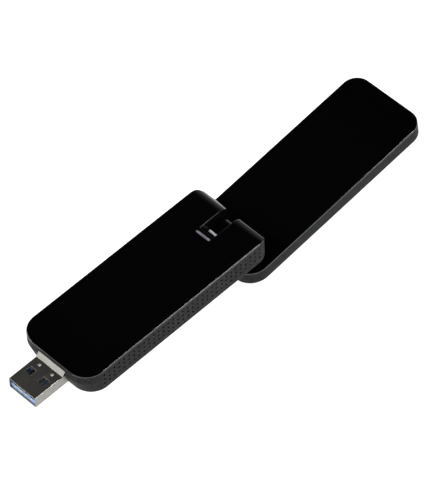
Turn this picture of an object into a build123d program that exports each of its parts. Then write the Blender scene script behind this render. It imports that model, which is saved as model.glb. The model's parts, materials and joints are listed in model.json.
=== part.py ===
from build123d import *
from math import cos, radians, sin
import os

# USB wireless adapter with a folding antenna panel. All sizes are in millimetres.
# X runs from the plug towards the far end of the body, Y to the left, Z out of the glossy top face.
# The origin is the middle of the plug where it enters the body.

# Body outline
BODY_LENGTH = 82.3
BODY_WIDTH = 31.4
BODY_TOP = 6.1
BODY_BOTTOM = -4.1
PLUG_END_RADIUS = 7.3
FAR_END_RADIUS = 5.5
CHIN_TOP = 2.3
CHIN_DEPTH = 2.0
BOTTOM_ROUND = 1.5
ROLL_RADIUS = 4.8
EDGE_ROUND = 0.3

# Shell and cover
WALL = 1.4
COVER_SKIN = 0.5
COVER_SKIRT_END = 1.0
COVER_LIP = 0.5
PLUG_WALL = 3.0

# Side vents
VENT_RADIUS = 0.45
VENT_PITCH = 2.158
VENT_START = 7.8
VENT_COLUMNS = 33
VENT_ROWS = (3.65, 1.65, -0.4)

# Folding hinge
HINGE_X = 76.5
HINGE_Z = -0.9
OPEN_TILT = 6.85
NOTCH_START = 68.7
NOTCH_WIDTH = 6.2
NOTCH_WALL = 1.0
NOTCH_FLOOR_END = 71.4
HINGE_POCKET_RADIUS = 2.6
KNUCKLE_WIDTH = 5.9
KNUCKLE_NEAR = 4.4
KNUCKLE_FAR = 3.8
KNUCKLE_HEIGHT = 3.1
KNUCKLE_ROUND = 2.2
PIN_RADIUS = 1.0
TUBE_RADIUS = 1.8
TUBE_BORE_RADIUS = 1.3
RUNNING_GAP = 0.05
BUSH_RADIUS = 2.5
BUSH_DEPTH = 1.8
HINGE_BOSS_RADIUS = 3.1
PIN_POCKET_DEPTH = 6.0
LEAD_POCKET_DEPTH = 4.0
FAR_ROOF_START = 75.5
FAR_ROOF_UNDERSIDE = 3.2

# Antenna panel, in a frame with its origin on the hinge axis and Z out of its glossy inner face
PANEL_FACE = -7.45
PANEL_THICKNESS = 6.3
PANEL_NEAR = -5.2
PANEL_FAR = 77.4
PANEL_WIDTH = 31.3
PANEL_NEAR_RADIUS = 7.5
PANEL_FAR_RADIUS = 5.7
PANEL_WALL = 1.3
PANEL_OUTER_ROUND = 1.0

# Plug, a standard type A shell
PLUG_LENGTH = 12.85
PLUG_WIDTH = 12.0
PLUG_HEIGHT = 4.5
PLUG_SHEET = 0.3
PLUG_INSIDE = 4.5
FLAP_START = -1.1
FLAP_RISE = 1.7
FLAP_RUN = 1.5
FLAP_TAIL = 1.0
FLAP_WIDTH = 12.0
PLUG_CORNER = 0.35

# Circuit board
BOARD_START = 5.2
BOARD_END = 65.6
BOARD_WIDTH = 26.4
BOARD_TOP = -0.4
BOARD_THICKNESS = 1.0
BOARD_START_RADIUS = 3.0
BOARD_END_RADIUS = 1.0

# Status light and pairing button
LENS_X = 67.1
LENS_LENGTH = 6.1
LENS_WIDTH = 0.95
BUTTON_X = 22.0
BUTTON_Z = 1.0
BUTTON_LENGTH = 7.0
BUTTON_HEIGHT = 2.6
BUTTON_PROUD = 0.4
BUTTON_TRAVEL = 0.35
BUTTON_GAP = 0.3
BUTTON_FLANGE_LENGTH = 8.4
BUTTON_FLANGE_HEIGHT = 3.6
BUTTON_ROUND = 0.25

# Leads
LEAD_RADIUS = 0.55
LEAD_SPACING = 1.2

# Clearances between pieces, and a length that reaches clear of everything
WELL_CLEAR = 40.0
FIT_GAP = 0.05
LIP_GAP = 0.1
SNUG_GAP = 0.02
OVERLAP = 0.2


def block(x0, x1, y0, y1, z0, z1):
    """Box between two opposite corners."""
    return Pos((x0 + x1) / 2, (y0 + y1) / 2, (z0 + z1) / 2) * Box(x1 - x0, y1 - y0, z1 - z0)


def rod_y(x, z, radius, y0, y1):
    """Round bar along Y."""
    return Pos(x, (y0 + y1) / 2, z) * Rot(90, 0, 0) * Cylinder(radius, y1 - y0)


def rod_z(x, y, radius, z0, z1):
    """Round bar along Z."""
    return Pos(x, y, (z0 + z1) / 2) * Cylinder(radius, z1 - z0)


def plan(x0, x1, width, start_radius, end_radius):
    """Flat outline with its own corner radius at each end."""
    outline = Pos((x0 + x1) / 2, 0) * Rectangle(x1 - x0, width)
    outline = fillet(outline.vertices().group_by(Axis.X)[0], start_radius)
    return fillet(outline.vertices().group_by(Axis.X)[-1], end_radius)


def body_plan(inset, start):
    """Body outline, drawn in by an inset and starting at a given X."""
    return plan(start, BODY_LENGTH - inset, BODY_WIDTH - 2 * inset,
                PLUG_END_RADIUS - inset, FAR_END_RADIUS - inset)


def panel_plan(inset):
    """Antenna panel outline, drawn in by an inset."""
    return plan(PANEL_NEAR + inset, PANEL_FAR - inset, PANEL_WIDTH - 2 * inset,
                PANEL_NEAR_RADIUS - inset, PANEL_FAR_RADIUS - inset)


def slab(outline, z0, z1):
    """Outline extruded between two heights."""
    return extrude(Pos(0, 0, z0) * outline, z1 - z0)


def rolled_side(inset):
    """Body side view with the far top edge rolled over, wide enough to cover the whole width."""
    low = BODY_BOTTOM - WELL_CLEAR
    top = BODY_TOP - inset
    far = BODY_LENGTH - inset
    side = Plane.XZ * Pos((far - WELL_CLEAR) / 2, (low + top) / 2) * Rectangle(far + WELL_CLEAR, top - low)
    corner = side.vertices().sort_by(lambda v: v.X + v.Z)[-1]
    side = fillet(corner, ROLL_RADIUS - inset)
    return extrude(side, WELL_CLEAR, both=True)


def on_panel(shape):
    """Place a shape drawn in the panel frame at the resting angle of the hinge."""
    return Location((HINGE_X, 0, HINGE_Z), (0, -OPEN_TILT, 0)) * shape


def save(name, shape):
    """Write one named piece."""
    export_step(shape, f"parts/{name}.step")


def group(shapes):
    """Several separate solids kept in one named piece."""
    solids = [solid for shape in shapes for solid in shape.solids()]
    return Compound(children=solids)


# ---- body shells ------------------------------------------------------------------------------

def body_blank():
    """Whole outside of the body as one solid."""
    upper = slab(body_plan(0, 0), CHIN_TOP, BODY_TOP)
    upper = fillet(upper.faces().sort_by(Axis.Z)[-1].edges(), EDGE_ROUND)
    low_outline = Pos(0, 0, BODY_BOTTOM) * body_plan(0, CHIN_DEPTH)
    high_outline = Pos(0, 0, CHIN_TOP) * body_plan(0, 0)
    lower = loft([low_outline, high_outline], ruled=True)
    lower = fillet(lower.faces().sort_by(Axis.Z)[0].edges(), BOTTOM_ROUND)
    return (upper + lower) & rolled_side(0)


def notch(extra=0.0):
    """Space for the hinge knuckle, open at the top, the far end and the bottom."""
    half = NOTCH_WIDTH / 2 + extra
    return block(NOTCH_START - extra, BODY_LENGTH + 1, -half, half, -WELL_CLEAR, WELL_CLEAR)


def notch_with_floor():
    """The notch as the lower shell has it, with the floor kept under its inner end."""
    floor = block(NOTCH_START - 1, NOTCH_FLOOR_END, -NOTCH_WIDTH, NOTCH_WIDTH,
                  -WELL_CLEAR, BODY_BOTTOM + WALL)
    return notch() - floor


def lens_outline(length, width):
    """Stadium across the body."""
    return Pos(LENS_X, 0) * Rot(0, 0, 90) * SlotOverall(length, width)


def make_top_cover(blank):
    """Glossy cover: a thin skin with a locating lip that drops inside the lower shell."""
    skin = blank - rolled_side(COVER_SKIN)
    skin = skin & block(-1, BODY_LENGTH + 1, -WELL_CLEAR, WELL_CLEAR, COVER_SKIRT_END, WELL_CLEAR)
    lip_top = BODY_TOP - COVER_SKIN
    lip_end = FAR_ROOF_START - LIP_GAP
    lip_outline = body_plan(WALL + LIP_GAP, PLUG_WALL + LIP_GAP)
    lip = slab(lip_outline, lip_top - COVER_LIP, lip_top)
    lip = lip & block(0, lip_end, -WELL_CLEAR, WELL_CLEAR, -WELL_CLEAR, WELL_CLEAR)
    lip = lip - notch(NOTCH_WALL + LIP_GAP)
    window = slab(lens_outline(LENS_LENGTH, LENS_WIDTH), 0, WELL_CLEAR)
    return skin + lip - notch() - window, skin


def button_outline(length, height):
    """Stadium on the side wall."""
    return Plane.XZ * Pos(BUTTON_X, BUTTON_Z) * SlotOverall(length, height)


def button_bar(length, height, y0, y1):
    """Stadium bar across the side wall."""
    return extrude(button_outline(length, height), -(y1 - y0)).moved(Pos(0, y0, 0))


def vents():
    """Rows of small round holes through both side walls, left out around the button."""
    wall_out = BODY_WIDTH / 2 + 1
    wall_in = BODY_WIDTH / 2 - WALL - 1
    holes = []
    for column in range(VENT_COLUMNS):
        x = VENT_START + column * VENT_PITCH
        beside_button = abs(x - BUTTON_X) < BUTTON_FLANGE_LENGTH / 2 + VENT_RADIUS
        for z in VENT_ROWS:
            holes.append(rod_y(x, z, VENT_RADIUS, -wall_out, -wall_in))
            if not beside_button:
                holes.append(rod_y(x, z, VENT_RADIUS, wall_in, wall_out))
    return holes


BOSS_PLACES = [(12.0, 11.2), (12.0, -11.2), (61.0, 11.2), (61.0, -11.2)]
BOSS_RADIUS = 1.9
SCREW_RADIUS = 0.8
SCREW_HEAD_RADIUS = 1.5
SCREW_TIP = -3.6
SCREW_GAP = 0.1
PAN_HEAD_HEIGHT = 0.8
PAN_HEAD_ROUND = 0.3
CROSS_HALF_WIDTH = 0.15
CROSS_HALF_LENGTH = 0.9
CROSS_DEPTH = 0.35


def make_lower_shell(blank, skin):
    """Matte tub with the vented side walls, the hinge walls and the board bosses."""
    floor = BODY_BOTTOM + WALL
    rim = BODY_TOP - COVER_SKIN
    shell = blank - skin
    cavity = slab(body_plan(WALL, PLUG_WALL), floor, rim)
    far_roof = block(FAR_ROOF_START, BODY_LENGTH, -WELL_CLEAR, WELL_CLEAR, FAR_ROOF_UNDERSIDE, WELL_CLEAR)
    cavity = cavity - far_roof - notch(NOTCH_WALL)
    shell = shell - cavity - notch_with_floor()
    for x, y in BOSS_PLACES:
        shell = shell + rod_z(x, y, BOSS_RADIUS, floor - OVERLAP, BOARD_TOP - BOARD_THICKNESS)
    for x, y in BOSS_PLACES:
        shell = shell - rod_z(x, y, SCREW_RADIUS, SCREW_TIP, BOARD_TOP)
    half = NOTCH_WIDTH / 2
    boss_out = half + BUSH_DEPTH
    shell = shell + rod_y(HINGE_X, HINGE_Z, HINGE_BOSS_RADIUS, -boss_out, -half)
    shell = shell + rod_y(HINGE_X, HINGE_Z, HINGE_BOSS_RADIUS, half, boss_out)
    shell = shell - rod_y(HINGE_X, HINGE_Z, BUSH_RADIUS, -boss_out - OVERLAP, boss_out + OVERLAP)
    shell = shell - rod_y(HINGE_X, HINGE_Z, HINGE_POCKET_RADIUS, -half - PIN_POCKET_DEPTH, -boss_out)
    shell = shell - rod_y(HINGE_X, HINGE_Z, HINGE_POCKET_RADIUS, boss_out, half + LEAD_POCKET_DEPTH)
    plug_y = PLUG_WIDTH / 2 + FIT_GAP
    plug_z = PLUG_HEIGHT / 2 + FIT_GAP
    shell = shell - block(-1, PLUG_WALL + 1, -plug_y, plug_y, -plug_z, plug_z)
    flap_end = FLAP_START + FLAP_RUN + FLAP_TAIL + LIP_GAP
    flap_y = FLAP_WIDTH / 2 + OVERLAP
    shell = shell - block(-1, flap_end, -flap_y, flap_y, 0, PLUG_HEIGHT / 2 + FLAP_RISE + LIP_GAP)
    wall_in = BODY_WIDTH / 2 - WALL - 1
    wall_out = BODY_WIDTH / 2 + 1
    shell = shell - button_bar(BUTTON_LENGTH + BUTTON_GAP, BUTTON_HEIGHT + BUTTON_GAP, wall_in, wall_out)
    return shell - vents()


# ---- plug -------------------------------------------------------------------------------------

WINDOW_X = -6.2
WINDOW_Y = 3.05
WINDOW_LENGTH = 2.5
WINDOW_WIDTH = 2.5
REAR_HOLE_X = -2.8
REAR_HOLE_Y = 2.82
REAR_HOLE_LENGTH = 1.0
REAR_HOLE_WIDTH = 1.25


def make_plug_shell():
    """Folded steel shell with latch windows, rear holes and a raised rear flap."""
    outside = block(-PLUG_LENGTH, PLUG_INSIDE, -PLUG_WIDTH / 2, PLUG_WIDTH / 2,
                    -PLUG_HEIGHT / 2, PLUG_HEIGHT / 2)
    outside = fillet(outside.edges().filter_by(Axis.X), PLUG_CORNER)
    inner_y = PLUG_WIDTH / 2 - PLUG_SHEET
    inner_z = PLUG_HEIGHT / 2 - PLUG_SHEET
    inside = block(-PLUG_LENGTH - 1, PLUG_INSIDE + 1, -inner_y, inner_y, -inner_z, inner_z)
    shell = outside - inside
    for side in (-1, 1):
        window = Pos(WINDOW_X, side * WINDOW_Y, 0) * Box(WINDOW_LENGTH, WINDOW_WIDTH, 2 * PLUG_HEIGHT)
        rear_hole = Box(REAR_HOLE_LENGTH, REAR_HOLE_WIDTH, PLUG_SHEET * 3)
        rear_hole = Pos(REAR_HOLE_X, side * REAR_HOLE_Y, PLUG_HEIGHT / 2) * rear_hole
        shell = shell - window - rear_hole
    low = PLUG_HEIGHT / 2 - PLUG_SHEET / 2
    top = PLUG_HEIGHT / 2
    high = top + FLAP_RISE
    bend = FLAP_START + FLAP_RUN
    flap_side = Polyline((FLAP_START - PLUG_SHEET / 2, low), (FLAP_START, top), (bend, high),
                         (bend + FLAP_TAIL, high), (bend + FLAP_TAIL, high - PLUG_SHEET),
                         (bend + PLUG_SHEET / 2, high - PLUG_SHEET), (FLAP_START + PLUG_SHEET, low),
                         close=True)
    flap = extrude(Plane.XZ * make_face(flap_side), FLAP_WIDTH / 2, both=True)
    return shell + flap


TONGUE_TOP = 0.0
TONGUE_HALF_WIDTH = 5.65
CONTACT_SPREAD = (-3.5, -1.0, 1.0, 3.5)
REAR_CONTACT_SPREAD = (-4.0, -2.0, 0.0, 2.0, 4.0)
TAIL_END = 7.4
TONGUE_START = -PLUG_LENGTH + 0.45
TONGUE_END = -2.6
TONGUE_ROUND = 0.25
GROOVE_DEPTH = 0.25
GROOVE_HALF = 0.5
BLADE_START = TONGUE_START + 0.02
BLADE_HALF = 0.45
BLADE_SHEET = 0.2
TIP_HALF = 0.3
TIP_DROP = 1.1
LOW_SLOT_START = -5.6
LOW_SLOT_TOP = -0.6
LOW_SLOT_BOTTOM = -1.0
LOW_SLOT_HALF = 0.3
LOW_BLADE_HALF = 0.25
BLOCK_NOSE = -2.95
NOSE_UNDERSIDE = 0.35


def make_tongue():
    """Coloured insulating tongue in the lower half of the plug, grooved for the contacts."""
    low = -PLUG_HEIGHT / 2 + PLUG_SHEET + SNUG_GAP
    tongue = block(TONGUE_START, TONGUE_END, -TONGUE_HALF_WIDTH, TONGUE_HALF_WIDTH, low, TONGUE_TOP)
    tongue = fillet(tongue.edges().filter_by(Axis.Y).group_by(Axis.X)[0], TONGUE_ROUND)
    return tongue - contact_channels(TONGUE_END)


def contact_channels(end):
    """Room for both rows of contacts, up to a given X."""
    channels = []
    for y in CONTACT_SPREAD:
        channels.append(block(TONGUE_START - 1, end, y - GROOVE_HALF, y + GROOVE_HALF,
                              TONGUE_TOP - GROOVE_DEPTH, TONGUE_TOP + LIP_GAP))
        tip_y = TIP_HALF + FIT_GAP
        channels.append(block(TONGUE_START - 1, BLADE_START + BLADE_SHEET + FIT_GAP, y - tip_y, y + tip_y,
                              TONGUE_TOP - TIP_DROP - FIT_GAP, TONGUE_TOP))
    for y in REAR_CONTACT_SPREAD:
        channels.append(block(LOW_SLOT_START, end, y - LOW_SLOT_HALF, y + LOW_SLOT_HALF,
                              LOW_SLOT_BOTTOM, LOW_SLOT_TOP))
    return channels


def make_contact_block():
    """Pale moulding that closes the rear of the plug and carries every contact."""
    half_z = PLUG_HEIGHT / 2 - PLUG_SHEET - SNUG_GAP
    half_y = TONGUE_HALF_WIDTH
    holder = block(TONGUE_END, PLUG_INSIDE, -half_y, half_y, -half_z, half_z)
    nose = block(BLOCK_NOSE, TONGUE_END, -half_y, half_y, TONGUE_TOP + NOSE_UNDERSIDE, half_z)
    return holder + nose - contact_channels(PLUG_INSIDE + 1)


def make_front_contacts():
    """Four long contacts on the tongue, with bent tips at the front and tails on the board."""
    bend = PLUG_INSIDE + 0.6
    contacts = []
    for y in CONTACT_SPREAD:
        y0, y1 = y - BLADE_HALF, y + BLADE_HALF
        blade = block(BLADE_START, bend, y0, y1, TONGUE_TOP - BLADE_SHEET, TONGUE_TOP)
        drop = block(bend, bend + BLADE_SHEET, y0, y1, BOARD_TOP, TONGUE_TOP)
        foot = block(bend + BLADE_SHEET, TAIL_END, y0, y1, BOARD_TOP, BOARD_TOP + BLADE_SHEET)
        tip = block(BLADE_START, BLADE_START + BLADE_SHEET, y - TIP_HALF, y + TIP_HALF,
                    TONGUE_TOP - TIP_DROP, TONGUE_TOP)
        contacts.append(tip + blade + drop + foot)
    return group(contacts)


def make_rear_contacts():
    """Five high speed contacts behind the front row."""
    z0 = LOW_SLOT_BOTTOM + LIP_GAP
    start = LOW_SLOT_START + OVERLAP
    end = BOARD_START - LIP_GAP
    return group([block(start, end, y - LOW_BLADE_HALF, y + LOW_BLADE_HALF, z0, z0 + BLADE_SHEET)
                  for y in REAR_CONTACT_SPREAD])


# ---- electronics ------------------------------------------------------------------------------

CAN_X0 = 25.0
CAN_X1 = 50.0
CAN_HALF = 10.0
CAN_HEIGHT = 1.9
CAN_SHEET = 0.2
CAN_RIM = 1.2
LID_RAISE = 0.4
LID_HOLE_RADIUS = 0.5
LID_HOLE_COLUMNS = (27.5, 46.5)
LID_HOLE_ROWS = (-7.0, -3.5, 0.0, 3.5, 7.0)
CHIP_ROUND = 0.1
CHIP_X = 35.0
LED_X = 64.2


def make_board():
    """Main circuit board with screw holes."""
    outline = plan(BOARD_START, BOARD_END, BOARD_WIDTH, BOARD_START_RADIUS, BOARD_END_RADIUS)
    board = slab(outline, BOARD_TOP - BOARD_THICKNESS, BOARD_TOP)
    for x, y in BOSS_PLACES:
        board = board - rod_z(x, y, SCREW_RADIUS + SCREW_GAP, -WELL_CLEAR, WELL_CLEAR)
    return board


def make_board_screws():
    """Four small pan head screws."""
    screws = []
    for x, y in BOSS_PLACES:
        shaft = rod_z(x, y, SCREW_RADIUS, SCREW_TIP, BOARD_TOP)
        top = BOARD_TOP + PAN_HEAD_HEIGHT
        head = rod_z(x, y, SCREW_HEAD_RADIUS, BOARD_TOP, top)
        head = fillet(head.faces().sort_by(Axis.Z)[-1].edges(), PAN_HEAD_ROUND)
        slot = Pos(x, y, top) * Box(2 * CROSS_HALF_LENGTH, 2 * CROSS_HALF_WIDTH, 2 * CROSS_DEPTH)
        cross = Pos(x, y, top) * Box(2 * CROSS_HALF_WIDTH, 2 * CROSS_HALF_LENGTH, 2 * CROSS_DEPTH)
        screws.append(shaft + head - slot - cross)
    return group(screws)


def make_can_frame():
    """Low soldered fence around the radio."""
    top = BOARD_TOP + CAN_HEIGHT - CAN_SHEET - LIP_GAP
    return hollow_box(CAN_X0, CAN_X1, CAN_HALF, BOARD_TOP, top) - block(
        CAN_X0 + CAN_RIM, CAN_X1 - CAN_RIM, CAN_RIM - CAN_HALF, CAN_HALF - CAN_RIM, BOARD_TOP, top + 1)


def hollow_box(x0, x1, half, z0, z1):
    """Thin sheet box, open underneath."""
    inner = block(x0 + CAN_SHEET, x1 - CAN_SHEET, CAN_SHEET - half, half - CAN_SHEET, z0 - 1, z1 - CAN_SHEET)
    return block(x0, x1, -half, half, z0, z1) - inner


def make_can_lid():
    """Clip-on shield lid with a grid of small holes."""
    grow = CAN_SHEET + SNUG_GAP
    top = BOARD_TOP + CAN_HEIGHT
    lid = hollow_box(CAN_X0 - grow, CAN_X1 + grow, CAN_HALF + grow, BOARD_TOP + LID_RAISE, top)
    for x in LID_HOLE_COLUMNS:
        for y in LID_HOLE_ROWS:
            lid = lid - rod_z(x, y, LID_HOLE_RADIUS, 0, WELL_CLEAR)
    return lid


def chip(x, y, length, width, height):
    """Square package on the board's upper side."""
    body = block(x - length / 2, x + length / 2, y - width / 2, y + width / 2, BOARD_TOP, BOARD_TOP + height)
    return fillet(body.edges().filter_by(Axis.Z), CHIP_ROUND)


def make_front_end_chips():
    """Two amplifiers and a diplexer beside the radio chip."""
    return group([chip(46.0, y, 3.6, 3.6, 0.75) for y in (-6.0, 0.0, 6.0)])


def make_memory_chip():
    """Small configuration memory."""
    return chip(18.5, -4.5, 5.0, 4.0, 0.9)


def make_power_parts():
    """Inductor, regulator and two ceramic capacitors of the power supply."""
    inductor = chip(13.5, 3.2, 4.0, 4.0, 2.0)
    regulator = chip(13.5, -2.4, 3.0, 3.0, 0.9)
    capacitors = [chip(18.5, y, 2.0, 1.2, 1.2) for y in (1.6, 4.4)]
    return group([inductor, regulator] + capacitors)


def make_small_parts():
    """Rows of chip capacitors and resistors."""
    places = [(53.5 + 1.7 * column, -8.0 + 2.6 * row) for column in range(3) for row in range(5)]
    return group([chip(x, y, 1.0, 0.6, 0.5) for x, y in places])


SPREADER_LIFT = 0.6
SPREADER_OVERHANG = 3.0
SPREADER_HALF = 11.5
SPREADER_SHEET = 0.8
SPREADER_CORNER = 1.5
LEG_LENGTH = 17.0


def make_spreader():
    """Bent aluminium plate that stands on the shield lid and carries heat to the vents."""
    z0 = BOARD_TOP + CAN_HEIGHT + SPREADER_LIFT
    x0, x1 = CAN_X0 - SPREADER_OVERHANG, CAN_X1 + SPREADER_OVERHANG
    plate = block(x0, x1, -SPREADER_HALF, SPREADER_HALF, z0, z0 + SPREADER_SHEET)
    plate = fillet(plate.edges().filter_by(Axis.Z), SPREADER_CORNER)
    for side in (-1, 1):
        y = side * (SPREADER_HALF - SPREADER_SHEET / 2)
        leg = Box(LEG_LENGTH, SPREADER_SHEET, z0 - BOARD_TOP)
        plate = plate + leg.moved(Pos((CAN_X0 + CAN_X1) / 2, y, (BOARD_TOP + z0) / 2))
    return plate


LENS_FOOT_TOP = 2.4
LENS_FOOT_BOTTOM = 1.2
LENS_FOOT_HALF = 1.6
LENS_FOOT_REACH = 1.0
LENS_GAP = 0.06


def make_light_pipe():
    """Clear bar in the cover with a foot that reaches over the light on the board."""
    outline = lens_outline(LENS_LENGTH - LENS_GAP, LENS_WIDTH - LENS_GAP)
    bar = slab(outline, LENS_FOOT_BOTTOM, BODY_TOP - SNUG_GAP)
    foot = block(LED_X - LENS_FOOT_REACH, LENS_X, -LENS_FOOT_HALF, LENS_FOOT_HALF,
                 LENS_FOOT_BOTTOM, LENS_FOOT_TOP)
    return bar + foot


LEAD_PLUGS = [(57.6, 5.4), (57.6, 8.4)]
SOCKET_HALF_LENGTH = 1.3
SOCKET_HALF_WIDTH = 1.2
SOCKET_BASE = 0.35
SOCKET_HEIGHT = 1.0
SOCKET_RADIUS = 0.95
CAP_RADIUS = 1.45
CAP_BORE = 1.0
CAP_BORE_DEPTH = 0.65
CAP_HEIGHT = 1.3
CAP_BASE = BOARD_TOP + 0.4
SLEEVE_RADIUS = 0.75
SLEEVE_REACH = 2.7
LEAD_ENTRY = 1.9
LEAD_HEIGHT = CAP_BASE + 0.76


def make_lead_sockets():
    """Round coaxial sockets on the board."""
    sockets = []
    for x, y in LEAD_PLUGS:
        base = block(x - SOCKET_HALF_LENGTH, x + SOCKET_HALF_LENGTH,
                     y - SOCKET_HALF_WIDTH, y + SOCKET_HALF_WIDTH, BOARD_TOP, BOARD_TOP + SOCKET_BASE)
        post = rod_z(x, y, SOCKET_RADIUS, BOARD_TOP + SOCKET_BASE, BOARD_TOP + SOCKET_HEIGHT)
        sockets.append(base + post)
    return group(sockets)


def make_lead_plugs():
    """Snap-on coaxial plugs at the ends of the leads."""
    plugs = []
    for x, y in LEAD_PLUGS:
        cap = rod_z(x, y, CAP_RADIUS, CAP_BASE, CAP_BASE + CAP_HEIGHT)
        bore = rod_z(x, y, CAP_BORE, CAP_BASE - 1, CAP_BASE + CAP_BORE_DEPTH)
        sleeve = Pos(x, y, LEAD_HEIGHT) * Rot(0, 90, 0) * Cylinder(SLEEVE_RADIUS, 2 * SLEEVE_REACH)
        sleeve = sleeve & block(x + CAP_BORE + LIP_GAP, WELL_CLEAR * 2, 0, WELL_CLEAR, -1, WELL_CLEAR)
        lead = Pos(x + LEAD_ENTRY + 1, y, LEAD_HEIGHT) * Rot(0, 90, 0) * Cylinder(LEAD_RADIUS, 2)
        plugs.append(cap - bore + sleeve - lead)
    return group(plugs)


LEAD_SPLIT = 3.0
LEAD_SWINGS = (7.9, 10.4)
LEAD_LEVEL_RUN = 5.5
LEAD_SLOPE_RUN = 5.6
LEAD_BENDS = (4.0, 4.0, 2.2)


def tube_along(points, radii):
    """Round lead along straight runs joined by arcs."""
    path = FilletPolyline(*points, radius=radii)
    start = path ^ 0
    return sweep(start * Circle(LEAD_RADIUS), path=path)


def make_body_leads():
    """Coaxial leads from the board to the hollow side of the hinge."""
    end_x = (HINGE_X - LEAD_SPACING / 2, HINGE_X + LEAD_SPACING / 2)
    leads = []
    for (x, y), x_end, y_far in zip(LEAD_PLUGS, end_x, LEAD_SWINGS):
        x0 = x + LEAD_ENTRY
        x1 = x0 + LEAD_LEVEL_RUN
        points = [(x0, y, LEAD_HEIGHT), (x1, y, LEAD_HEIGHT), (x1 + LEAD_SLOPE_RUN, y_far, HINGE_Z),
                  (x_end, y_far, HINGE_Z), (x_end, LEAD_SPLIT, HINGE_Z)]
        leads.append(tube_along(points, LEAD_BENDS))
    return group(leads)


PAD_HALF = 8.0


def make_thermal_pad():
    """Soft pad between the board and the floor of the shell."""
    return block(CHIP_X - PAD_HALF, CHIP_X + PAD_HALF, -PAD_HALF, PAD_HALF,
                 BODY_BOTTOM + WALL, BOARD_TOP - BOARD_THICKNESS)


# ---- pairing button ---------------------------------------------------------------------------

WALL_INSIDE = BODY_WIDTH / 2 - WALL
FLANGE_OUT = WALL_INSIDE - 0.05
FLANGE_IN = FLANGE_OUT - 0.5
STEM_OUT = FLANGE_IN - 0.35
SWITCH_FACE = 12.55
SWITCH_POCKET = 0.95
SWITCH_HALF = 2.3
SWITCH_DEPTH = 2.6
SWITCH_HEIGHT = 2.4
STEM_IN = 0.5
STEM_HALF_LENGTH = 0.9
STEM_HALF_HEIGHT = 0.45
POST_LENGTH = 2.6
POST_HEIGHT = 1.4


def make_button():
    """Push button with a retaining flange and a post that meets the switch stem."""
    cap = button_bar(BUTTON_LENGTH, BUTTON_HEIGHT, FLANGE_OUT, BODY_WIDTH / 2 + BUTTON_PROUD)
    cap = fillet(cap.faces().sort_by(Axis.Y)[-1].edges(), BUTTON_ROUND)
    flange = button_bar(BUTTON_FLANGE_LENGTH, BUTTON_FLANGE_HEIGHT, FLANGE_IN, FLANGE_OUT)
    post = button_bar(POST_LENGTH, POST_HEIGHT, STEM_OUT, FLANGE_IN)
    return cap + flange + post


def make_switch_stem():
    """Moving stem of the switch."""
    return block(BUTTON_X - STEM_HALF_LENGTH, BUTTON_X + STEM_HALF_LENGTH, SWITCH_FACE - STEM_IN, STEM_OUT,
                 BUTTON_Z - STEM_HALF_HEIGHT, BUTTON_Z + STEM_HALF_HEIGHT)


def make_switch_body():
    """Side push switch soldered to the edge of the board."""
    body = block(BUTTON_X - SWITCH_HALF, BUTTON_X + SWITCH_HALF, SWITCH_FACE - SWITCH_DEPTH, SWITCH_FACE,
                 BOARD_TOP, BOARD_TOP + SWITCH_HEIGHT)
    half_x = STEM_HALF_LENGTH + FIT_GAP
    half_z = STEM_HALF_HEIGHT + FIT_GAP
    pocket = block(BUTTON_X - half_x, BUTTON_X + half_x, SWITCH_FACE - SWITCH_POCKET, SWITCH_FACE + 1,
                   BUTTON_Z - half_z, BUTTON_Z + half_z)
    return body - pocket


# ---- hinge ------------------------------------------------------------------------------------

TUBE_IN = 1.5
TUBE_OUT = 6.4
COLLAR_RADIUS = 2.4
COLLAR_INSET = 0.5
PIN_CHAMFER = 0.2
PIN_IN = -1.3
PIN_OUT = -9.0
FOOT_TOP = PANEL_FACE - 1.05
FOOT_THICKNESS = 1.2
FOOT_NEAR = -3.85
FOOT_FAR = 11.0
FOOT_HALF = 5.6
FOOT_SCREWS = [(7.6, 3.8), (7.6, -3.8)]
FOOT_OVER_LEADS = 0.6
NECK_LEAD_BEND = 1.2
FOOT_LEAD_BEND = 1.6
LEAD_DROPS = (-0.5, 0.75)
STRIP_INNER = 1.75
STRIP_PROUD = 0.05
STRIP_START = 28
STRIP_END = 50
STRIP_EASE = 0.5
NECK_LOW = PANEL_FACE - 1.1
LEAD_ROOM = LEAD_RADIUS + 0.1
WASHER_RADIUS = 2.1
WASHER_THICKNESS = 0.35
WASHER_GAP = 0.05
WASHER_COUNT = 3
NUT_RADIUS = 2.2
NUT_THICKNESS = 1.4


def make_bush(side, bore):
    """Flanged ring pressed into one hinge wall."""
    half = NOTCH_WIDTH / 2
    inner = side * (half + RUNNING_GAP)
    outer = side * (half + BUSH_DEPTH)
    y0, y1 = min(inner, outer), max(inner, outer)
    return rod_y(HINGE_X, HINGE_Z, BUSH_RADIUS, y0, y1) - rod_y(HINGE_X, HINGE_Z, bore, y0 - 1, y1 + 1)


def washer_stack(count):
    """Distance from the middle to the face that comes after a number of washers."""
    return NOTCH_WIDTH / 2 + BUSH_DEPTH + RUNNING_GAP + count * (WASHER_THICKNESS + WASHER_GAP)


def make_pivot_tube():
    """Hollow pivot on the left side that lets the leads through, with a head that keeps it in place."""
    tube = rod_y(0, 0, TUBE_RADIUS, TUBE_IN, TUBE_OUT)
    collar = rod_y(0, 0, COLLAR_RADIUS, washer_stack(0), TUBE_OUT - COLLAR_INSET)
    tube = tube + collar
    return tube - rod_y(0, 0, TUBE_BORE_RADIUS, TUBE_IN - 1, TUBE_OUT + 1)


def make_hinge_pin():
    """Solid friction pin on the right side."""
    pin = rod_y(0, 0, PIN_RADIUS, PIN_OUT, PIN_IN)
    return chamfer(pin.faces().sort_by(Axis.Y)[0].edges(), PIN_CHAMFER)


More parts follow.
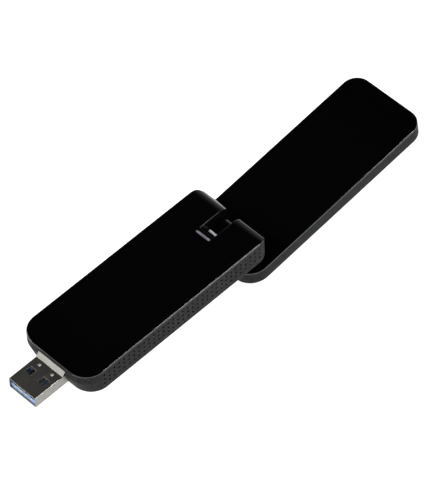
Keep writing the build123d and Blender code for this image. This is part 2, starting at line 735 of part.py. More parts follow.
def make_washers():
    """Stack of spring washers that gives the hinge its hold, as flat rings pressed together."""
    washers = []
    for index in range(WASHER_COUNT):
        y1 = -washer_stack(index)
        y0 = y1 - WASHER_THICKNESS
        ring = rod_y(0, 0, WASHER_RADIUS, y0, y1) - rod_y(0, 0, PIN_RADIUS, y0 - 1, y1 + 1)
        washers.append(ring)
    return group(washers)


def make_pin_nut():
    """Staked hexagonal nut that holds the washers."""
    nut = Plane.XZ * RegularPolygon(NUT_RADIUS, 6)
    nut = extrude(nut, NUT_THICKNESS).moved(Pos(0, -washer_stack(WASHER_COUNT), 0))
    return nut - rod_y(0, 0, PIN_RADIUS, -WELL_CLEAR, 0)


def strip_shape(inner, outer, start, end, half):
    """Curved bar on the near top corner of the knuckle, between two angles from the vertical."""
    x = KNUCKLE_ROUND - KNUCKLE_NEAR
    z = KNUCKLE_HEIGHT - KNUCKLE_ROUND
    ring = rod_y(x, z, outer, -half, half) - rod_y(x, z, inner, -half - 1, half + 1)
    reach = 2 * outer
    corners = [(x, z)]
    for angle in (start, end):
        corners.append((x - reach * sin(radians(angle)), z + reach * cos(radians(angle))))
    wedge = Plane.XZ * make_face(Polyline(*corners, close=True))
    return ring & extrude(wedge, half + 1, both=True)


def make_stop_strip():
    """Satin steel strip let into the near top corner of the knuckle."""
    return strip_shape(STRIP_INNER, KNUCKLE_ROUND + STRIP_PROUD, STRIP_START, STRIP_END, KNUCKLE_WIDTH / 2)


def make_knuckle():
    """Glossy neck that turns in the notch, with a foot that is screwed inside the panel."""
    centre = Pos((KNUCKLE_FAR - KNUCKLE_NEAR) / 2, (KNUCKLE_HEIGHT + NECK_LOW) / 2)
    side = Plane.XZ * centre * Rectangle(KNUCKLE_FAR + KNUCKLE_NEAR, KNUCKLE_HEIGHT - NECK_LOW)
    side = fillet(side.vertices().group_by(Axis.Z)[-1], KNUCKLE_ROUND)
    neck = extrude(side, KNUCKLE_WIDTH / 2, both=True)
    neck = neck - block(-WELL_CLEAR, FOOT_NEAR, -WELL_CLEAR, WELL_CLEAR, NECK_LOW - 1, PANEL_RIM)
    foot = block(FOOT_NEAR, FOOT_FAR, -FOOT_HALF, FOOT_HALF, FOOT_TOP - FOOT_THICKNESS, FOOT_TOP)
    knuckle = neck + foot
    knuckle = knuckle - rod_y(0, 0, PIN_RADIUS, -WELL_CLEAR, PIN_IN)
    knuckle = knuckle - rod_y(0, 0, TUBE_RADIUS, TUBE_IN, WELL_CLEAR)
    half = LEAD_SPACING / 2 + LEAD_ROOM
    right = LEAD_DROPS[0] - LEAD_ROOM
    left = LEAD_DROPS[1] + LEAD_ROOM
    knuckle = knuckle - block(-half, half + NECK_LEAD_BEND / 3, right, TUBE_IN, -WELL_CLEAR, LEAD_ROOM)
    knuckle = knuckle - block(-half, FOOT_FAR + 1, right, left, -WELL_CLEAR, FOOT_TOP - FOOT_OVER_LEADS)
    for x, y in FOOT_SCREWS:
        knuckle = knuckle - rod_z(x, y, SCREW_RADIUS + SCREW_GAP, -WELL_CLEAR, 0)
    seat = strip_shape(STRIP_INNER - SNUG_GAP, KNUCKLE_ROUND + 1, STRIP_START - STRIP_EASE,
                       STRIP_END + STRIP_EASE, KNUCKLE_WIDTH)
    return knuckle - seat


# ---- antenna panel ----------------------------------------------------------------------------

PANEL_OUT = PANEL_FACE - PANEL_THICKNESS
PANEL_FLOOR = PANEL_OUT + PANEL_WALL
PANEL_RIM = PANEL_FACE - COVER_SKIN
PANEL_BOARD_TOP = PANEL_FLOOR + 1.8
PANEL_BOARD_LOW = PANEL_BOARD_TOP - 1.0
PANEL_BOARD_WIDTH = 25.0
PANEL_BOARD_NEAR_RADIUS = 1.0
PANEL_BOARD_FAR_RADIUS = 3.0
FOOT_SCREW_TIP = PANEL_OUT + 0.5
FLAT_HEAD_HEIGHT = 0.45
SCREW_HEAD_ROOM = 0.3
RIB_THICKNESS = 1.0
RIB_LENGTH = 29.0
PANEL_BOARD_START = 14.0
PANEL_BOARD_END = 73.0
RIB_PLACES = (18.0, 44.0, 70.0)


def panel_blank():
    """Whole outside of the antenna panel."""
    blank = slab(panel_plan(0), PANEL_OUT, PANEL_FACE)
    blank = fillet(blank.faces().sort_by(Axis.Z)[0].edges(), PANEL_OUTER_ROUND)
    return fillet(blank.faces().sort_by(Axis.Z)[-1].edges(), EDGE_ROUND)


def make_inner_cover(blank):
    """Glossy cover of the panel, with a locating lip and an opening for the neck."""
    skin = blank & block(-WELL_CLEAR, 2 * WELL_CLEAR, -WELL_CLEAR, WELL_CLEAR, PANEL_RIM, 0)
    lip = slab(panel_plan(PANEL_WALL + LIP_GAP), PANEL_RIM - COVER_LIP, PANEL_RIM)
    half = KNUCKLE_WIDTH / 2 + SNUG_GAP
    opening = block(-KNUCKLE_NEAR - SNUG_GAP, KNUCKLE_FAR + SNUG_GAP, -half, half, -WELL_CLEAR, 0)
    for x, y in FOOT_SCREWS:
        lip = lip - rod_z(x, y, SCREW_HEAD_RADIUS + SCREW_HEAD_ROOM, -WELL_CLEAR, PANEL_RIM)
    return skin + lip - opening


def make_outer_shell(blank):
    """Matte tray of the panel with ribs under the antenna board and two screw bosses."""
    tray = blank & block(-WELL_CLEAR, 2 * WELL_CLEAR, -WELL_CLEAR, WELL_CLEAR, -WELL_CLEAR, PANEL_RIM)
    tray = tray - slab(panel_plan(PANEL_WALL), PANEL_FLOOR, PANEL_RIM + 1)
    for x in RIB_PLACES:
        tray = tray + Pos(x, 0, (PANEL_FLOOR - OVERLAP + PANEL_BOARD_LOW) / 2) * Box(
            RIB_THICKNESS, RIB_LENGTH, PANEL_BOARD_LOW - PANEL_FLOOR + OVERLAP)
    for x, y in FOOT_SCREWS:
        tray = tray + rod_z(x, y, BOSS_RADIUS, PANEL_FLOOR - OVERLAP, FOOT_TOP - FOOT_THICKNESS)
    for x, y in FOOT_SCREWS:
        tray = tray - rod_z(x, y, SCREW_RADIUS, FOOT_SCREW_TIP, FOOT_TOP)
    return tray


def make_foot_screws():
    """Two screws that hold the hinge foot in the panel."""
    screws = []
    for x, y in FOOT_SCREWS:
        shaft = rod_z(x, y, SCREW_RADIUS, FOOT_SCREW_TIP, FOOT_TOP)
        head = rod_z(x, y, SCREW_HEAD_RADIUS, FOOT_TOP, FOOT_TOP + FLAT_HEAD_HEIGHT)
        screws.append(shaft + head)
    return group(screws)


def make_antenna_board():
    """Thin board that carries the antennas."""
    outline = plan(PANEL_BOARD_START, PANEL_BOARD_END, PANEL_BOARD_WIDTH,
                   PANEL_BOARD_NEAR_RADIUS, PANEL_BOARD_FAR_RADIUS)
    return slab(outline, PANEL_BOARD_LOW, PANEL_BOARD_TOP)


COPPER_SHEET = 0.1
RADIATOR_PLACES = ((26.0, 1), (50.0, -1))
RADIATOR_GAP = 2.0
FEED_LENGTH = 7.5
STUB_LENGTH = 5.5
ARM_LENGTH = 18.0
TRACE_WIDTH = 2.0
SHORT_START = 5.0
SHORT_WIDTH = 1.2


def copper_strip(x, side, length, start, reach):
    """Flat copper on the antenna board, reaching outwards from the middle on one side."""
    y = side * (start + reach / 2)
    return Pos(x + length / 2, y, PANEL_BOARD_TOP + COPPER_SHEET / 2) * Box(length, reach, COPPER_SHEET)


def make_radiators():
    """Two folded copper antennas, one for each lead."""
    near = RADIATOR_GAP
    inner = near + TRACE_WIDTH / 2
    outer = near + FEED_LENGTH - TRACE_WIDTH / 2
    radiators = []
    for x, side in RADIATOR_PLACES:
        feed = copper_strip(x, side, TRACE_WIDTH, near, FEED_LENGTH)
        arm = copper_strip(x, side, ARM_LENGTH, outer, TRACE_WIDTH)
        drop = copper_strip(x + ARM_LENGTH - TRACE_WIDTH, side, TRACE_WIDTH, inner, STUB_LENGTH)
        short = copper_strip(x + SHORT_START, side, SHORT_WIDTH, inner, STUB_LENGTH)
        radiators.append(feed + arm + drop + short)
    return group(radiators)


PANEL_LEAD_ENDS = ((49.2, -1.0), (25.2, 3.0))
PANEL_LEAD_LEVEL = PANEL_BOARD_TOP + LEAD_RADIUS + 0.1
SWERVE_START = 16.0
SWERVE_END = 21.0
SWERVE_BEND = 3.0
LEAD_BREAK = 0.3


def make_panel_leads():
    """Coaxial leads from the hinge, down the neck and along the panel to the antennas."""
    z = PANEL_LEAD_LEVEL
    starts = (-LEAD_SPACING / 2, LEAD_SPACING / 2)
    leads = []
    for x, y, (x_end, y_end) in zip(starts, LEAD_DROPS, PANEL_LEAD_ENDS):
        points = [(x, LEAD_SPLIT - LEAD_BREAK, 0), (x, y, 0), (x, y, z),
                  (SWERVE_START, y, z), (SWERVE_END, y_end, z), (x_end, y_end, z)]
        leads.append(tube_along(points, [NECK_LEAD_BEND, FOOT_LEAD_BEND, SWERVE_BEND, SWERVE_BEND]))
    return group(leads)


FOAM_PLACES = (30.5, 62.0)
FOAM_WIDTH = 3.0
FOAM_HALF = 11.5
FOAM_RAISE = 1.5


def make_foam_pads():
    """Two foam strips that keep the antenna board down under the cover."""
    low = PANEL_BOARD_TOP + FOAM_RAISE
    high = PANEL_RIM - COVER_LIP
    return group([block(x, x + FOAM_WIDTH, -FOAM_HALF, FOAM_HALF, low, high) for x in FOAM_PLACES])


def main():
    os.makedirs("parts", exist_ok=True)

    blank = body_blank()
    cover, skin = make_top_cover(blank)
    save("body_top_cover", cover)
    save("body_lower_shell", make_lower_shell(blank, skin))
    save("light_pipe", make_light_pipe())

    save("usb_plug_shell", make_plug_shell())
    save("usb_tongue", make_tongue())
    save("usb_contact_block", make_contact_block())
    save("usb_front_contacts", make_front_contacts())
    save("usb_rear_contacts", make_rear_contacts())

    save("main_board", make_board())
    save("board_screws", make_board_screws())
    save("shield_frame", make_can_frame())
    save("shield_lid", make_can_lid())
    save("radio_chip", chip(CHIP_X, 0.0, 10.0, 10.0, 0.85))
    save("crystal", chip(CHIP_X - 7.2, 6.0, 2.5, 3.2, 0.7))
    save("front_end_chips", make_front_end_chips())
    save("memory_chip", make_memory_chip())
    save("power_parts", make_power_parts())
    save("small_parts", make_small_parts())
    save("status_led", chip(LED_X, 0.0, 1.2, 2.0, 0.8))
    save("heat_spreader", make_spreader())
    save("thermal_pad", make_thermal_pad())
    save("lead_sockets", make_lead_sockets())
    save("lead_plugs", make_lead_plugs())
    save("body_leads", make_body_leads())

    save("pairing_button", make_button())
    save("switch_stem", make_switch_stem())
    save("switch_body", make_switch_body())

    save("left_bush", make_bush(1, TUBE_RADIUS + RUNNING_GAP))
    save("right_bush", make_bush(-1, PIN_RADIUS + RUNNING_GAP))
    save("pivot_tube", on_panel(make_pivot_tube()))
    save("hinge_pin", on_panel(make_hinge_pin()))
    save("spring_washers", on_panel(make_washers()))
    save("pin_nut", on_panel(make_pin_nut()))
    save("hinge_stop_strip", on_panel(make_stop_strip()))
    save("hinge_knuckle", on_panel(make_knuckle()))

    panel = panel_blank()
    save("antenna_inner_cover", on_panel(make_inner_cover(panel)))
    save("antenna_outer_shell", on_panel(make_outer_shell(panel)))
    save("foot_screws", on_panel(make_foot_screws()))
    save("antenna_board", on_panel(make_antenna_board()))
    save("antenna_radiators", on_panel(make_radiators()))
    save("panel_leads", on_panel(make_panel_leads()))
    save("foam_pads", on_panel(make_foam_pads()))


main()
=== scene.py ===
import json
import math

import bpy
from mathutils import Euler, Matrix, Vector


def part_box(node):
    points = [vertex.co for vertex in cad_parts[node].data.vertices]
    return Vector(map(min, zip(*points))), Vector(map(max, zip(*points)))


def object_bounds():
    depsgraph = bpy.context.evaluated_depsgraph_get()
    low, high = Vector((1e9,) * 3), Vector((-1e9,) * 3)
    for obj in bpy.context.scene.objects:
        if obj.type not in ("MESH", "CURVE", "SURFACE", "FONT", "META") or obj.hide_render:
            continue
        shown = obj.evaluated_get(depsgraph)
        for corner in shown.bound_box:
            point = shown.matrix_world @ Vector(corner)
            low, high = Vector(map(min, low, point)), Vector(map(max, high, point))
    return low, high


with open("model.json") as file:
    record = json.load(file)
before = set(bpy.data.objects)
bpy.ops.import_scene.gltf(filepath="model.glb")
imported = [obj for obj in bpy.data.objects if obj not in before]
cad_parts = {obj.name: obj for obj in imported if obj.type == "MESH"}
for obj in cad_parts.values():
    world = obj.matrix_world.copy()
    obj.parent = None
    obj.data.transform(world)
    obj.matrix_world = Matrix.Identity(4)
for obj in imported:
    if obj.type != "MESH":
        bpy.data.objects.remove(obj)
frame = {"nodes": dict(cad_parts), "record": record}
CAD_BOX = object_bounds()

MM = 0.001

# Camera: turned round the object, degrees and metres
CAMERA_AZIMUTH = -43.05
CAMERA_ELEVATION = 51.39
CAMERA_ROLL = -2.66
CAMERA_DISTANCE = 1.2162
CAMERA_TARGET = (0.07019, -0.0021, 0.0)
SENSOR = 36.0
LENS = 277.96

# Brightness of the surround against the height of the direction
SKY = ((0.0, 0.50), (0.30, 0.42), (0.55, 0.15), (0.76, 0.006))

# Side on which the surround is brighter, and how many times brighter it gets there
FRONT = (-0.86, 0.51, 0.0)
FRONT_GAIN = 4.0

# Lamp on the hinge: direction, metres away, cone in degrees, softness of its rim, watts, size in metres
SNOOT = (-0.60, 0.10, 0.80)
SNOOT_DISTANCE = 1.0
SNOOT_ANGLE = 1.2
SNOOT_SOFTNESS = 0.6
SNOOT_POWER = 750.0
SNOOT_SIZE = 0.05

# Floor: half its width and its gap under the object, in metres, and how much it glows
FLOOR_HALF = 4.0
FLOOR_GAP = 0.0002
FLOOR_GLOW = 0.93

# The polished well of the hinge in the body shell, millimetres
WELL_START = 68.5
WELL_HALF_WIDTH = 3.3


# ---- shader helpers ----------------------------------------------------------------------------

class Shader:
    """A node material with short ways to add patterns. Lengths are in millimetres."""

    def __init__(self, name):
        self.material = bpy.data.materials.new(name)
        self.material.use_nodes = True
        self.tree = self.material.node_tree
        self.surface = self.tree.nodes["Principled BSDF"]
        self.coords = self.add("ShaderNodeTexCoord").outputs["Object"]

    def add(self, kind, settings=None, **inputs):
        node = self.tree.nodes.new(kind)
        for key, value in (settings or {}).items():
            setattr(node, key, value)
        for key, value in inputs.items():
            self.put(node.inputs[key.replace("_", " ")], value)
        return node

    def put(self, socket, value):
        if isinstance(value, bpy.types.NodeSocket):
            self.tree.links.new(value, socket)
        else:
            socket.default_value = value

    def set(self, **inputs):
        for key, value in inputs.items():
            self.put(self.surface.inputs[key.replace("_", " ")], value)

    def place(self, stretch=(1, 1, 1)):
        """Position in millimetres, squeezed or stretched along each axis."""
        node = self.add("ShaderNodeVectorMath", {"operation": "MULTIPLY"})
        self.put(node.inputs[0], self.coords)
        node.inputs[1].default_value = [s / MM for s in stretch]
        return node.outputs[0]

    def noise(self, scale, detail=3.0, stretch=(1, 1, 1), distortion=0.0):
        node = self.add("ShaderNodeTexNoise", Vector=self.place(stretch), Scale=scale, Detail=detail,
                        Distortion=distortion)
        return node.outputs["Fac"]

    def cells(self, scale, stretch=(1, 1, 1)):
        node = self.add("ShaderNodeTexVoronoi", Vector=self.place(stretch), Scale=scale)
        return node.outputs["Distance"]

    def span(self, value, low, high, start=0.3, end=0.7):
        """Maps a pattern's start to end range to low to high."""
        node = self.add("ShaderNodeMapRange", From_Min=start, From_Max=end, To_Min=low, To_Max=high)
        self.put(node.inputs["Value"], value)
        return node.outputs["Result"]

    def blend(self, factor, first, second):
        """Colour between two colours, each a tuple or a socket."""
        node = self.add("ShaderNodeMix", {"data_type": "RGBA"})
        self.put(node.inputs[0], factor)
        for socket, colour in ((node.inputs[6], first), (node.inputs[7], second)):
            self.put(socket, (*colour, 1.0) if isinstance(colour, tuple) else colour)
        return node.outputs[2]

    def sums(self, operation, first, second):
        node = self.add("ShaderNodeMath", {"operation": operation})
        self.put(node.inputs[0], first)
        self.put(node.inputs[1], second)
        return node.outputs[0]

    def soft_edge(self, radius):
        """Surface normal with every edge rounded by a small radius."""
        return self.add("ShaderNodeBevel", {"samples": 8}, Radius=radius * MM).outputs["Normal"]

    def edge_mask(self, radius):
        """Near 1 along the edges, 0 on the flats."""
        geometry = self.add("ShaderNodeNewGeometry")
        dot = self.add("ShaderNodeVectorMath", {"operation": "DOT_PRODUCT"})
        self.put(dot.inputs[0], self.soft_edge(radius))
        self.put(dot.inputs[1], geometry.outputs["Normal"])
        return self.span(dot.outputs["Value"], 1.0, 0.0, 0.90, 0.995)

    def bump(self, height, depth, normal=None):
        node = self.add("ShaderNodeBump", Height=height, Distance=depth * MM, Strength=1.0)
        if normal is not None:
            self.put(node.inputs["Normal"], normal)
        return node.outputs["Normal"]

    def inside(self, low, high):
        """1 inside a box given in millimetres by its two corners, 0 outside."""
        axes = self.add("ShaderNodeSeparateXYZ", Vector=self.place())
        mask = 1.0
        for axis in range(3):
            if low[axis] is not None:
                mask = self.sums("MULTIPLY", mask, self.sums("GREATER_THAN", axes.outputs[axis], low[axis]))
            if high[axis] is not None:
                mask = self.sums("MULTIPLY", mask, self.sums("LESS_THAN", axes.outputs[axis], high[axis]))
        return mask


# ---- materials ---------------------------------------------------------------------------------

def gloss_black(name):
    """Mirror gloss moulding: faint orange peel, smears and hairline scratches."""
    s = Shader(name)
    smear = s.noise(0.11, 4.0, (1, 1.6, 1), 1.2)
    hair = s.noise(2.2, 2.0, (0.06, 5.0, 1.0))
    s.set(Base_Color=s.blend(s.noise(0.5, 3.0), (0.0005, 0.0005, 0.0006), (0.0011, 0.0011, 0.0012)))
    fine = s.span(hair, 0.0, 0.035, 0.60, 0.72)
    s.set(Roughness=s.sums("ADD", s.span(smear, 0.02, 0.06, 0.45, 0.75), fine))
    peel = s.bump(s.noise(0.9, 1.0), 0.0010, s.soft_edge(0.2))
    s.set(Normal=s.bump(hair, 0.0001, peel), IOR=1.49, Specular_IOR_Level=0.5)
    return s.material


def matte_black(name, polished_well=False):
    """Spark eroded moulding: fine grain, slightly mottled, polished along handled edges."""
    s = Shader(name)
    grain = s.noise(2.3, 3.0)
    pits = s.cells(3.2)
    mottle = s.noise(1.0, 4.0)
    edge = s.sums("MULTIPLY", s.edge_mask(0.22), s.span(s.noise(1.1, 3.0), 0.3, 1.0))
    colour = s.blend(s.span(grain, 0.0, 1.0), (0.013, 0.013, 0.0135), (0.044, 0.044, 0.046))
    colour = s.blend(s.span(mottle, 0.0, 0.75), colour, (0.008, 0.008, 0.0085))
    colour = s.blend(s.sums("MULTIPLY", edge, 0.35), colour, (0.065, 0.065, 0.067))
    roughness = s.span(grain, 0.46, 0.66)
    roughness = s.sums("SUBTRACT", roughness, s.sums("MULTIPLY", edge, 0.12))
    relief = s.sums("ADD", grain, s.sums("MULTIPLY", pits, 0.6))
    if polished_well:
        well = s.inside((WELL_START, -WELL_HALF_WIDTH, None), (None, WELL_HALF_WIDTH, None))
        matt = s.sums("SUBTRACT", 1.0, well)
        colour = s.blend(well, colour, (0.003, 0.003, 0.0034))
        polish = s.span(s.noise(0.6, 3.0), 0.05, 0.10)
        roughness = s.sums("ADD", s.sums("MULTIPLY", roughness, matt), s.sums("MULTIPLY", polish, well))
        relief = s.sums("MULTIPLY", relief, matt)
    s.set(Base_Color=colour, Roughness=roughness, Normal=s.bump(relief, 0.035, s.soft_edge(0.06)))
    s.set(Specular_IOR_Level=0.05)
    return s.material


def plated_steel(name):
    """Nickel plated sheet: drawn lines along X, insertion scratches, tarnish in patches."""
    s = Shader(name)
    drawn = s.noise(4.0, 3.0, (0.12, 3.0, 3.0))
    rub = s.noise(1.6, 2.0, (0.07, 2.2, 2.2))
    tarnish = s.noise(0.55, 4.0, (1, 1, 1), 0.8)
    colour = s.blend(s.span(drawn, 0.0, 1.0), (0.27, 0.265, 0.245), (0.33, 0.325, 0.305))
    colour = s.blend(s.span(tarnish, 0.0, 0.45, 0.45, 0.75), colour, (0.22, 0.195, 0.165))
    roughness = s.sums("ADD", s.span(drawn, 0.30, 0.36), s.span(rub, 0.0, 0.10, 0.55, 0.70))
    lines = s.bump(drawn, 0.0005, s.soft_edge(0.12))
    s.set(Base_Color=colour, Metallic=1.0, Roughness=roughness, Normal=s.bump(rub, 0.0006, lines))
    return s.material


def turned_metal(name, dark, light, low=0.22, high=0.38, scale=2.0):
    """Small metal parts: fine tool marks and light staining."""
    s = Shader(name)
    marks = s.noise(scale * 2.0, 3.0, (1, 0.3, 1))
    stain = s.noise(scale * 0.4, 4.0)
    colour = s.blend(s.span(stain, 0.0, 1.0), dark, light)
    s.set(Base_Color=colour, Metallic=1.0, Roughness=s.span(marks, low, high))
    s.set(Normal=s.bump(marks, 0.004, s.soft_edge(0.05)))
    return s.material


def moulded(name, dark, light, low=0.35, high=0.55, scale=1.6, depth=0.008, subsurface=0.0):
    """Small plastic mouldings and chip packages: cloudy colour and a fine skin."""
    s = Shader(name)
    cloud = s.noise(scale * 0.5, 4.0)
    skin = s.noise(scale * 3.0, 2.0)
    s.set(Base_Color=s.blend(s.span(cloud, 0.0, 1.0), dark, light), Roughness=s.span(skin, low, high))
    s.set(Normal=s.bump(skin, depth, s.soft_edge(0.06)))
    if subsurface:
        s.set(Subsurface_Weight=subsurface, Subsurface_Radius=(0.0010, 0.0009, 0.0008),
              Subsurface_Scale=0.4)
    return s.material


def solder_resist(name):
    """Board: green resist over faint tracks and glass weave."""
    s = Shader(name)
    weave = s.add("ShaderNodeTexBrick", Vector=s.place(), Scale=1.4).outputs["Fac"]
    tracks = s.noise(0.8, 1.0, (0.3, 2.2, 1))
    colour = s.blend(s.span(tracks, 0.0, 1.0, 0.48, 0.52), (0.010, 0.060, 0.034), (0.016, 0.105, 0.055))
    s.set(Base_Color=s.blend(s.sums("MULTIPLY", weave, 0.15), colour, (0.03, 0.09, 0.05)))
    s.set(Roughness=s.span(s.noise(3.0), 0.22, 0.40), Normal=s.bump(tracks, 0.02, s.soft_edge(0.05)))
    return s.material


def ceramic_parts(name):
    """Chip parts: tan or grey bodies with tinned ends."""
    s = Shader(name)
    kind = s.noise(0.55, 0.0)
    body = s.blend(s.span(kind, 0.0, 1.0, 0.45, 0.55), (0.42, 0.31, 0.20), (0.09, 0.09, 0.10))
    s.set(Base_Color=s.blend(s.span(s.noise(6.0), 0.0, 0.3), body, (0.6, 0.55, 0.5)))
    s.set(Roughness=s.span(s.noise(5.0), 0.3, 0.5), Normal=s.bump(s.noise(7.0), 0.01, s.soft_edge(0.06)))
    return s.material


def smoky_lens(name):
    """Status light bar: smoky translucent plastic with fine flow marks."""
    s = Shader(name)
    flow = s.noise(1.1, 3.0, (1, 2.5, 1))
    colour = s.blend(s.span(flow, 0.0, 1.0), (0.105, 0.097, 0.118), (0.150, 0.140, 0.165))
    s.set(Base_Color=colour, Roughness=s.span(s.noise(3.0), 0.25, 0.42))
    s.set(Normal=s.bump(flow, 0.006, s.soft_edge(0.08)), Subsurface_Weight=0.25,
          Subsurface_Radius=(0.0012, 0.0011, 0.0013), Subsurface_Scale=0.4)
    return s.material


def foam(name):
    """Open foam: dark cells."""
    s = Shader(name)
    cells = s.cells(3.0)
    s.set(Base_Color=s.blend(cells, (0.02, 0.02, 0.022), (0.10, 0.10, 0.11)), Roughness=0.95)
    s.set(Normal=s.bump(cells, 0.15))
    return s.material


MATERIALS = {
    "gloss_cover": gloss_black("gloss_cover_black"),
    "matte_shell": matte_black("matte_shell_black"),
    "light_lens": smoky_lens("smoky_lens"),
    "plug_steel": plated_steel("plug_plated_steel"),
    "tongue_blue": moulded("tongue_light_blue", (0.15, 0.26, 0.47), (0.24, 0.37, 0.60), 0.28, 0.42,
                           scale=1.4, depth=0.006),
    "pale_nylon": moulded("natural_nylon", (0.72, 0.69, 0.60), (0.86, 0.84, 0.76), 0.40, 0.55,
                          scale=1.4, depth=0.006, subsurface=0.2),
    "gold_contact": turned_metal("gold_plate", (0.60, 0.52, 0.36), (0.78, 0.71, 0.55), 0.22, 0.34),
    "board": solder_resist("board_green"),
    "tinned_sheet": turned_metal("tinned_sheet", (0.50, 0.50, 0.48), (0.74, 0.74, 0.71), 0.24, 0.44),
    "package_black": moulded("chip_package", (0.012, 0.012, 0.013), (0.030, 0.030, 0.032), 0.42, 0.62),
    "chip_parts": ceramic_parts("ceramic_parts"),
    "led_white": moulded("led_package", (0.70, 0.70, 0.62), (0.88, 0.88, 0.82), 0.20, 0.34),
    "spreader": turned_metal("rolled_aluminium", (0.62, 0.62, 0.63), (0.80, 0.80, 0.82), 0.26, 0.46, 1.0),
    "pad_grey": moulded("silicone_pad", (0.30, 0.36, 0.42), (0.42, 0.48, 0.55), 0.60, 0.80, 1.0, 0.02),
    "lead_jacket": moulded("lead_jacket", (0.012, 0.012, 0.012), (0.028, 0.028, 0.028), 0.32, 0.48),
    "bush_white": moulded("acetal", (0.66, 0.66, 0.62), (0.80, 0.80, 0.77), 0.30, 0.44, 1.2, 0.004, 0.1),
    "hinge_steel": turned_metal("turned_steel", (0.34, 0.34, 0.35), (0.58, 0.58, 0.59), 0.22, 0.40),
    "satin_strip": turned_metal("satin_steel", (0.78, 0.78, 0.77), (0.90, 0.90, 0.89), 0.42, 0.55, 1.4),
    "copper": turned_metal("bare_copper", (0.60, 0.26, 0.14), (0.86, 0.46, 0.28), 0.24, 0.42),
    "foam": foam("open_foam"),
}
SHELL_WITH_WELL = matte_black("matte_shell_polished_well", polished_well=True)

for part in frame["record"]["subparts"]:
    finish = MATERIALS[part["material_slot"]]
    if part["node"] == "body_lower_shell":
        finish = SHELL_WITH_WELL
    for material_slot in frame["nodes"][part["node"]].material_slots:
        material_slot.material = finish


# ---- floor, light and camera -------------------------------------------------------------------

def make_floor():
    """Plain pale floor just under the lowest point."""
    mesh = bpy.data.meshes.new("floor")
    z = CAD_BOX[0].z - FLOOR_GAP
    corners = [(x * FLOOR_HALF, y * FLOOR_HALF, z) for x, y in ((-1, -1), (1, -1), (1, 1), (-1, 1))]
    mesh.from_pydata(corners, [], [(0, 1, 2, 3)])
    floor = bpy.data.objects.new("floor", mesh)
    bpy.context.scene.collection.objects.link(floor)
    s = Shader("pale_floor")
    tone = s.blend(s.span(s.noise(0.02, 3.0), 0.0, 1.0), (0.34, 0.34, 0.34), (0.38, 0.38, 0.38))
    s.set(Base_Color=tone, Roughness=s.span(s.noise(0.3), 0.65, 0.8), Specular_IOR_Level=0.2)
    s.set(Emission_Color=(1.0, 1.0, 1.0, 1.0), Emission_Strength=FLOOR_GLOW)
    mesh.materials.append(s.material)


def make_sky():
    """Studio surround: dark overhead so that gloss faces stay black, brighter low down and in front."""
    world = bpy.data.worlds.new("studio")
    world.use_nodes = True
    tree = world.node_tree
    coords = tree.nodes.new("ShaderNodeTexCoord").outputs["Generated"]
    axes = tree.nodes.new("ShaderNodeSeparateXYZ")
    tree.links.new(coords, axes.inputs[0])
    ramp = tree.nodes.new("ShaderNodeValToRGB")
    ramp.color_ramp.elements[1].position = SKY[-1][0]
    for position, _ in SKY[1:-1]:
        ramp.color_ramp.elements.new(position)
    for element, (position, level) in zip(ramp.color_ramp.elements, SKY):
        element.position = position
        element.color = (level, level, level, 1.0)
    tree.links.new(axes.outputs["Z"], ramp.inputs["Fac"])
    front = tree.nodes.new("ShaderNodeVectorMath")
    front.operation = "DOT_PRODUCT"
    front.inputs[1].default_value = FRONT
    tree.links.new(coords, front.inputs[0])
    gain = tree.nodes.new("ShaderNodeMapRange")
    gain.inputs["From Min"].default_value = 0.0
    gain.inputs["From Max"].default_value = 1.0
    gain.inputs["To Min"].default_value = 1.0
    gain.inputs["To Max"].default_value = FRONT_GAIN
    tree.links.new(front.outputs["Value"], gain.inputs["Value"])
    tree.links.new(ramp.outputs["Color"], tree.nodes["Background"].inputs["Color"])
    tree.links.new(gain.outputs["Result"], tree.nodes["Background"].inputs["Strength"])
    bpy.context.scene.world = world


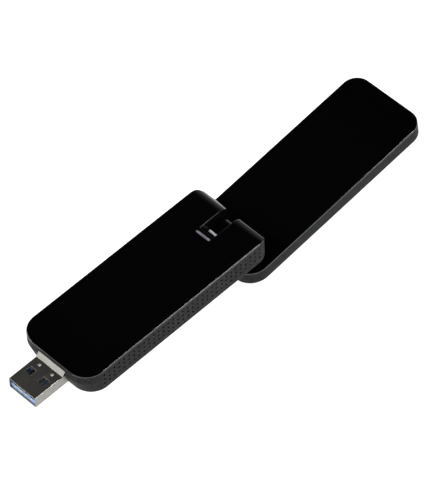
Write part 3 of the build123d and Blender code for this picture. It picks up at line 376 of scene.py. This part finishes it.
def softbox(name, direction, distance, size, power):
    """Square area light aimed at the middle of the object."""
    light = bpy.data.lights.new(name, "AREA")
    light.shape = "SQUARE"
    light.size = size
    light.energy = power
    lamp = bpy.data.objects.new(name, light)
    middle = (CAD_BOX[0] + CAD_BOX[1]) / 2
    toward = Vector(direction).normalized()
    lamp.location = middle + toward * distance
    lamp.rotation_euler = toward.to_track_quat("Z", "Y").to_euler()
    bpy.context.scene.collection.objects.link(lamp)


def make_snoot():
    """Narrow lamp that looks down into the hinge."""
    light = bpy.data.lights.new("snoot", "SPOT")
    light.spot_size = math.radians(SNOOT_ANGLE)
    light.spot_blend = SNOOT_SOFTNESS
    light.shadow_soft_size = SNOOT_SIZE
    light.energy = SNOOT_POWER
    lamp = bpy.data.objects.new("snoot", light)
    low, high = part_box("hinge_stop_strip")
    toward = Vector(SNOOT).normalized()
    lamp.location = (low + high) / 2 + toward * SNOOT_DISTANCE
    lamp.rotation_euler = toward.to_track_quat("Z", "Y").to_euler()
    bpy.context.scene.collection.objects.link(lamp)


def make_camera():
    """Camera at a bearing and height round a target, with a little roll."""
    bearing, height = math.radians(CAMERA_AZIMUTH), math.radians(CAMERA_ELEVATION)
    level = math.cos(height)
    back = Vector((math.sin(bearing) * level, -math.cos(bearing) * level, math.sin(height)))
    data = bpy.data.cameras.new("camera")
    data.sensor_width = SENSOR
    data.lens = LENS
    data.clip_start, data.clip_end = 0.01, 20.0
    camera = bpy.data.objects.new("camera", data)
    camera.location = Vector(CAMERA_TARGET) + back * CAMERA_DISTANCE
    turn = Euler((0.0, 0.0, math.radians(CAMERA_ROLL))).to_quaternion()
    camera.rotation_mode = "QUATERNION"
    camera.rotation_quaternion = back.to_track_quat("Z", "Y") @ turn
    bpy.context.scene.collection.objects.link(camera)
    bpy.context.scene.camera = camera


make_floor()
make_sky()
softbox("key", (-0.35, 0.75, 0.56), 1.1, 0.5, 6.0)
softbox("rim", (-0.62, 0.60, 0.50), 1.1, 0.16, 3.0)
softbox("edge", (0.43, -0.62, 0.64), 1.3, 0.3, 9.0)
make_snoot()
make_camera()
bpy.context.scene.view_settings.view_transform = "Standard"
